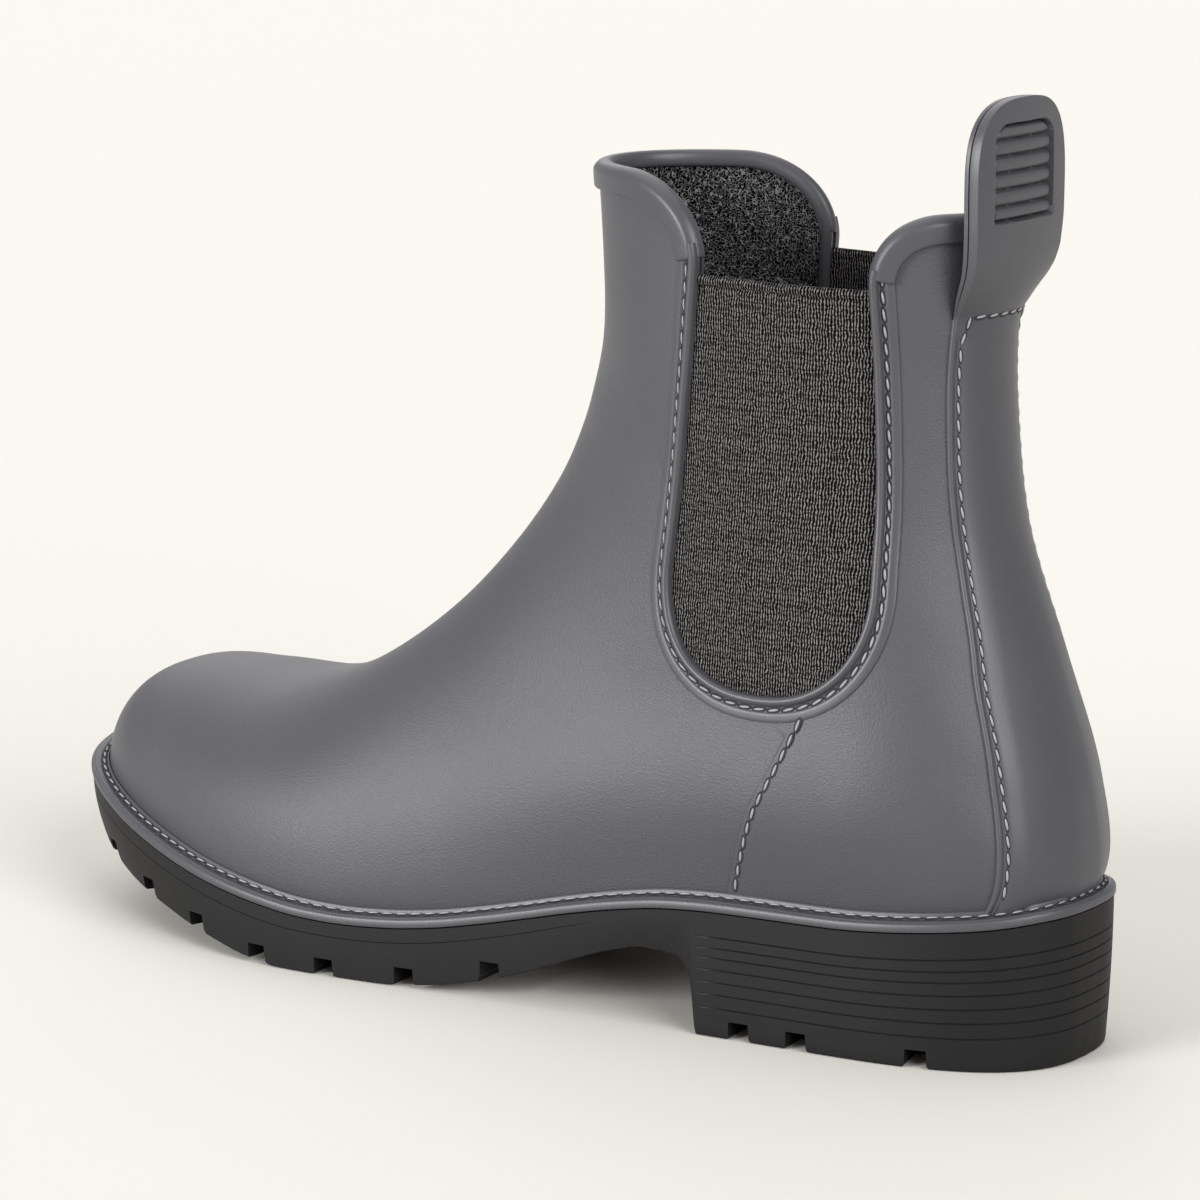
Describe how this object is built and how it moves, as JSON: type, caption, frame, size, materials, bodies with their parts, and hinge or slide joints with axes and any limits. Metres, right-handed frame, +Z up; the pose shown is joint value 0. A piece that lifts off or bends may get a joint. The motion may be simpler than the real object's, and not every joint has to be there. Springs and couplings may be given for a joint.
{
  "type": "rain ankle boot",
  "caption": "Grey pull-on rain ankle boot with elastic side gussets, bound collar, ribbed heel pull tab, stitched welt and black block-heel lugged sole.",
  "frame": {"origin": "middle of the boot's footprint box on the floor", "axes": "+X towards the toe, +Y towards the outer side of this left boot, +Z up"},
  "size_m": [0.2758, 0.0978, 0.207],
  "materials": {
    "upper": "satin grey moulded rubber with a fine grain",
    "trim": "satin grey rubber strip",
    "gusset": "dark charcoal elastic knit",
    "sole": "matte black rubber",
    "insole": "dark felt"
  },
  "bodies": {
    "root": {"upper": "upper", "gusset_outer": "gusset", "gusset_inner": "gusset", "gusset_trim_outer": "trim", "gusset_trim_inner": "trim", "collar_binding_front": "trim", "collar_binding_back": "trim", "back_strip": "trim", "pull_tab": "trim", "welt": "trim", "outsole": "sole", "insole": "insole"}
  },
  "joints": []
}
